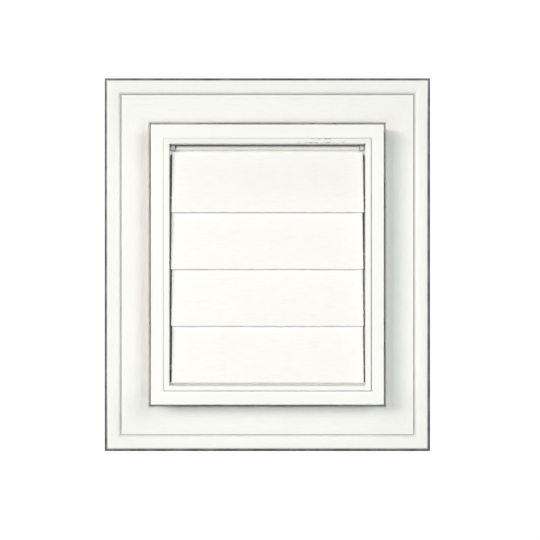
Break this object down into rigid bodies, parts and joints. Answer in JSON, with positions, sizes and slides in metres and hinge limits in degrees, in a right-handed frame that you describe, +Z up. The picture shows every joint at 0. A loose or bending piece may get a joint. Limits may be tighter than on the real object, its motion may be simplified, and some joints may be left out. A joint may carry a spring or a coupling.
{
  "type": "louvered exhaust vent",
  "caption": "Wall-mounted louvered exhaust vent with a clip-on trim ring, gravity louvers and a round duct collar.",
  "frame": {"origin": "on the wall plane, at the centre of the nailing flange and on the duct axis", "axes": "+Y into the wall along the duct, +Z up, the louvered face looks along -Y"},
  "size_m": [0.178, 0.0705, 0.204],
  "materials": {
    "ring_vinyl": "white moulded vinyl with embossed wood grain",
    "base_vinyl": "white moulded vinyl, satin",
    "housing_vinyl": "white moulded vinyl, satin",
    "collar_vinyl": "white moulded vinyl, satin",
    "louver_vinyl": "white moulded vinyl with embossed wood grain"
  },
  "bodies": {
    "vent_body": {"trim_ring": "ring_vinyl", "mounting_base": "base_vinyl", "louver_housing": "housing_vinyl", "duct_collar": "collar_vinyl"},
    "top_louver": {"louver_1": "louver_vinyl"},
    "upper_louver": {"louver_2": "louver_vinyl"},
    "lower_louver": {"louver_3": "louver_vinyl"},
    "bottom_louver": {"louver_4": "louver_vinyl"}
  },
  "joints": [
    {"name": "louver_1_hinge", "type": "hinge", "parent": "vent_body", "child": "top_louver", "pos_m": [0, -0.025, 0.0616], "axis": [-1, 0, 0], "range_deg": [0, 55]},
    {"name": "louver_2_hinge", "type": "hinge", "parent": "vent_body", "child": "upper_louver", "pos_m": [0, -0.025, 0.0311], "axis": [-1, 0, 0], "range_deg": [0, 55]},
    {"name": "louver_3_hinge", "type": "hinge", "parent": "vent_body", "child": "lower_louver", "pos_m": [0, -0.025, 0.0006], "axis": [-1, 0, 0], "range_deg": [0, 55]},
    {"name": "louver_4_hinge", "type": "hinge", "parent": "vent_body", "child": "bottom_louver", "pos_m": [0, -0.025, -0.0299], "axis": [-1, 0, 0], "range_deg": [0, 55]}
  ],
  "couplings": [
    {"joint": "louver_1_hinge", "follows": "louver_4_hinge", "ratio": 1},
    {"joint": "louver_2_hinge", "follows": "louver_4_hinge", "ratio": 1},
    {"joint": "louver_3_hinge", "follows": "louver_4_hinge", "ratio": 1}
  ]
}
